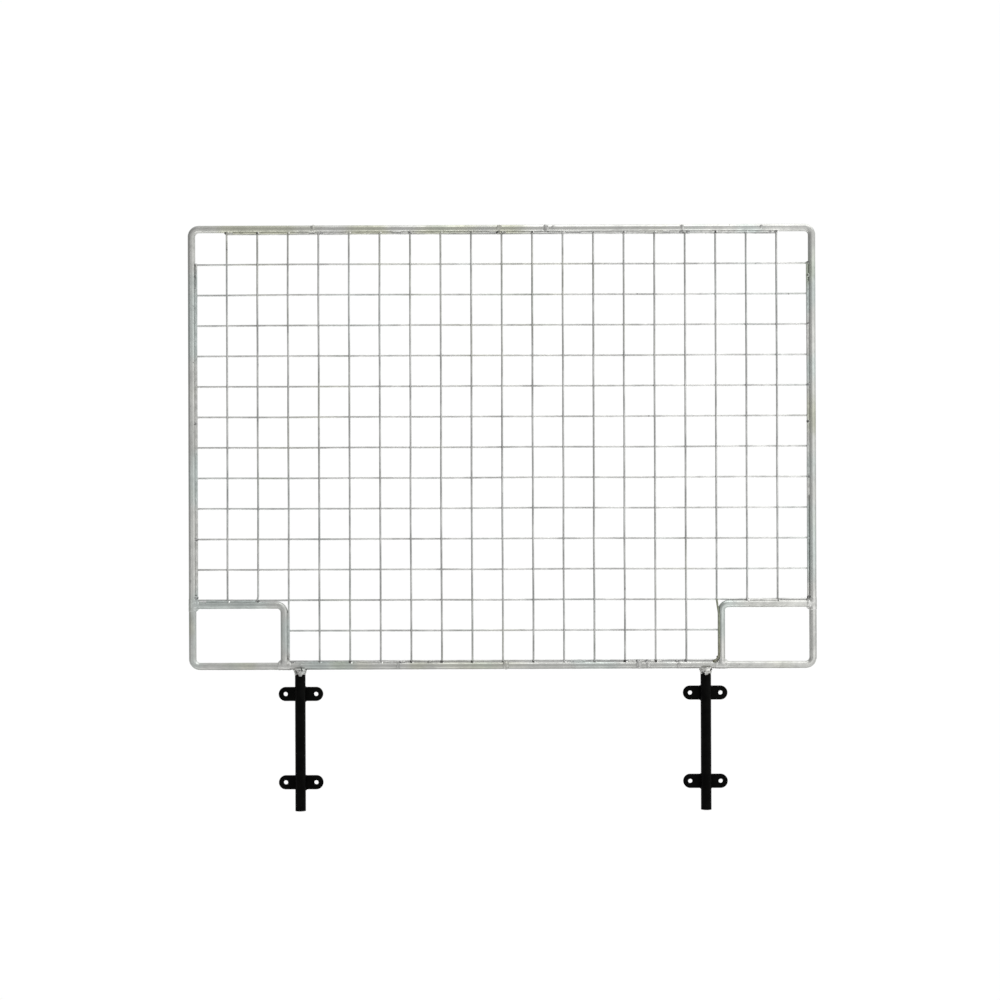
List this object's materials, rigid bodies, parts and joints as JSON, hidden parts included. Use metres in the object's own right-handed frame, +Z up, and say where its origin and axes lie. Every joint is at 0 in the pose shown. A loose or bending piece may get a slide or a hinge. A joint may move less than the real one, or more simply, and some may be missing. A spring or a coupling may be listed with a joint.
{
  "type": "wire mesh guard panel",
  "caption": "Welded wire mesh guard panel in a bent round-bar frame with hand holes in its lower corners, standing on legs in bolt-on socket brackets.",
  "frame": {"origin": "middle of the wall face of the left bracket's upper lug", "axes": "+X to the right seen from the front, +Y out of the lugs into the wall behind, +Z up"},
  "size_m": [1.0276, 0.0222, 0.9581],
  "materials": {
    "galvanised_steel": "dull mottled zinc on round bar",
    "galvanised_wire": "dull zinc on drawn wire",
    "black_paint": "satin black paint"
  },
  "bodies": {
    "root": {"perimeter_frame": "galvanised_steel", "corner_bar_left": "galvanised_steel", "corner_bar_right": "galvanised_steel", "wire_mesh": "galvanised_wire", "leg_left": "galvanised_steel", "leg_right": "galvanised_steel", "socket_left": "black_paint", "socket_right": "black_paint", "upper_lug_left": "black_paint", "lower_lug_left": "black_paint", "upper_lug_right": "black_paint", "lower_lug_right": "black_paint"}
  },
  "joints": []
}
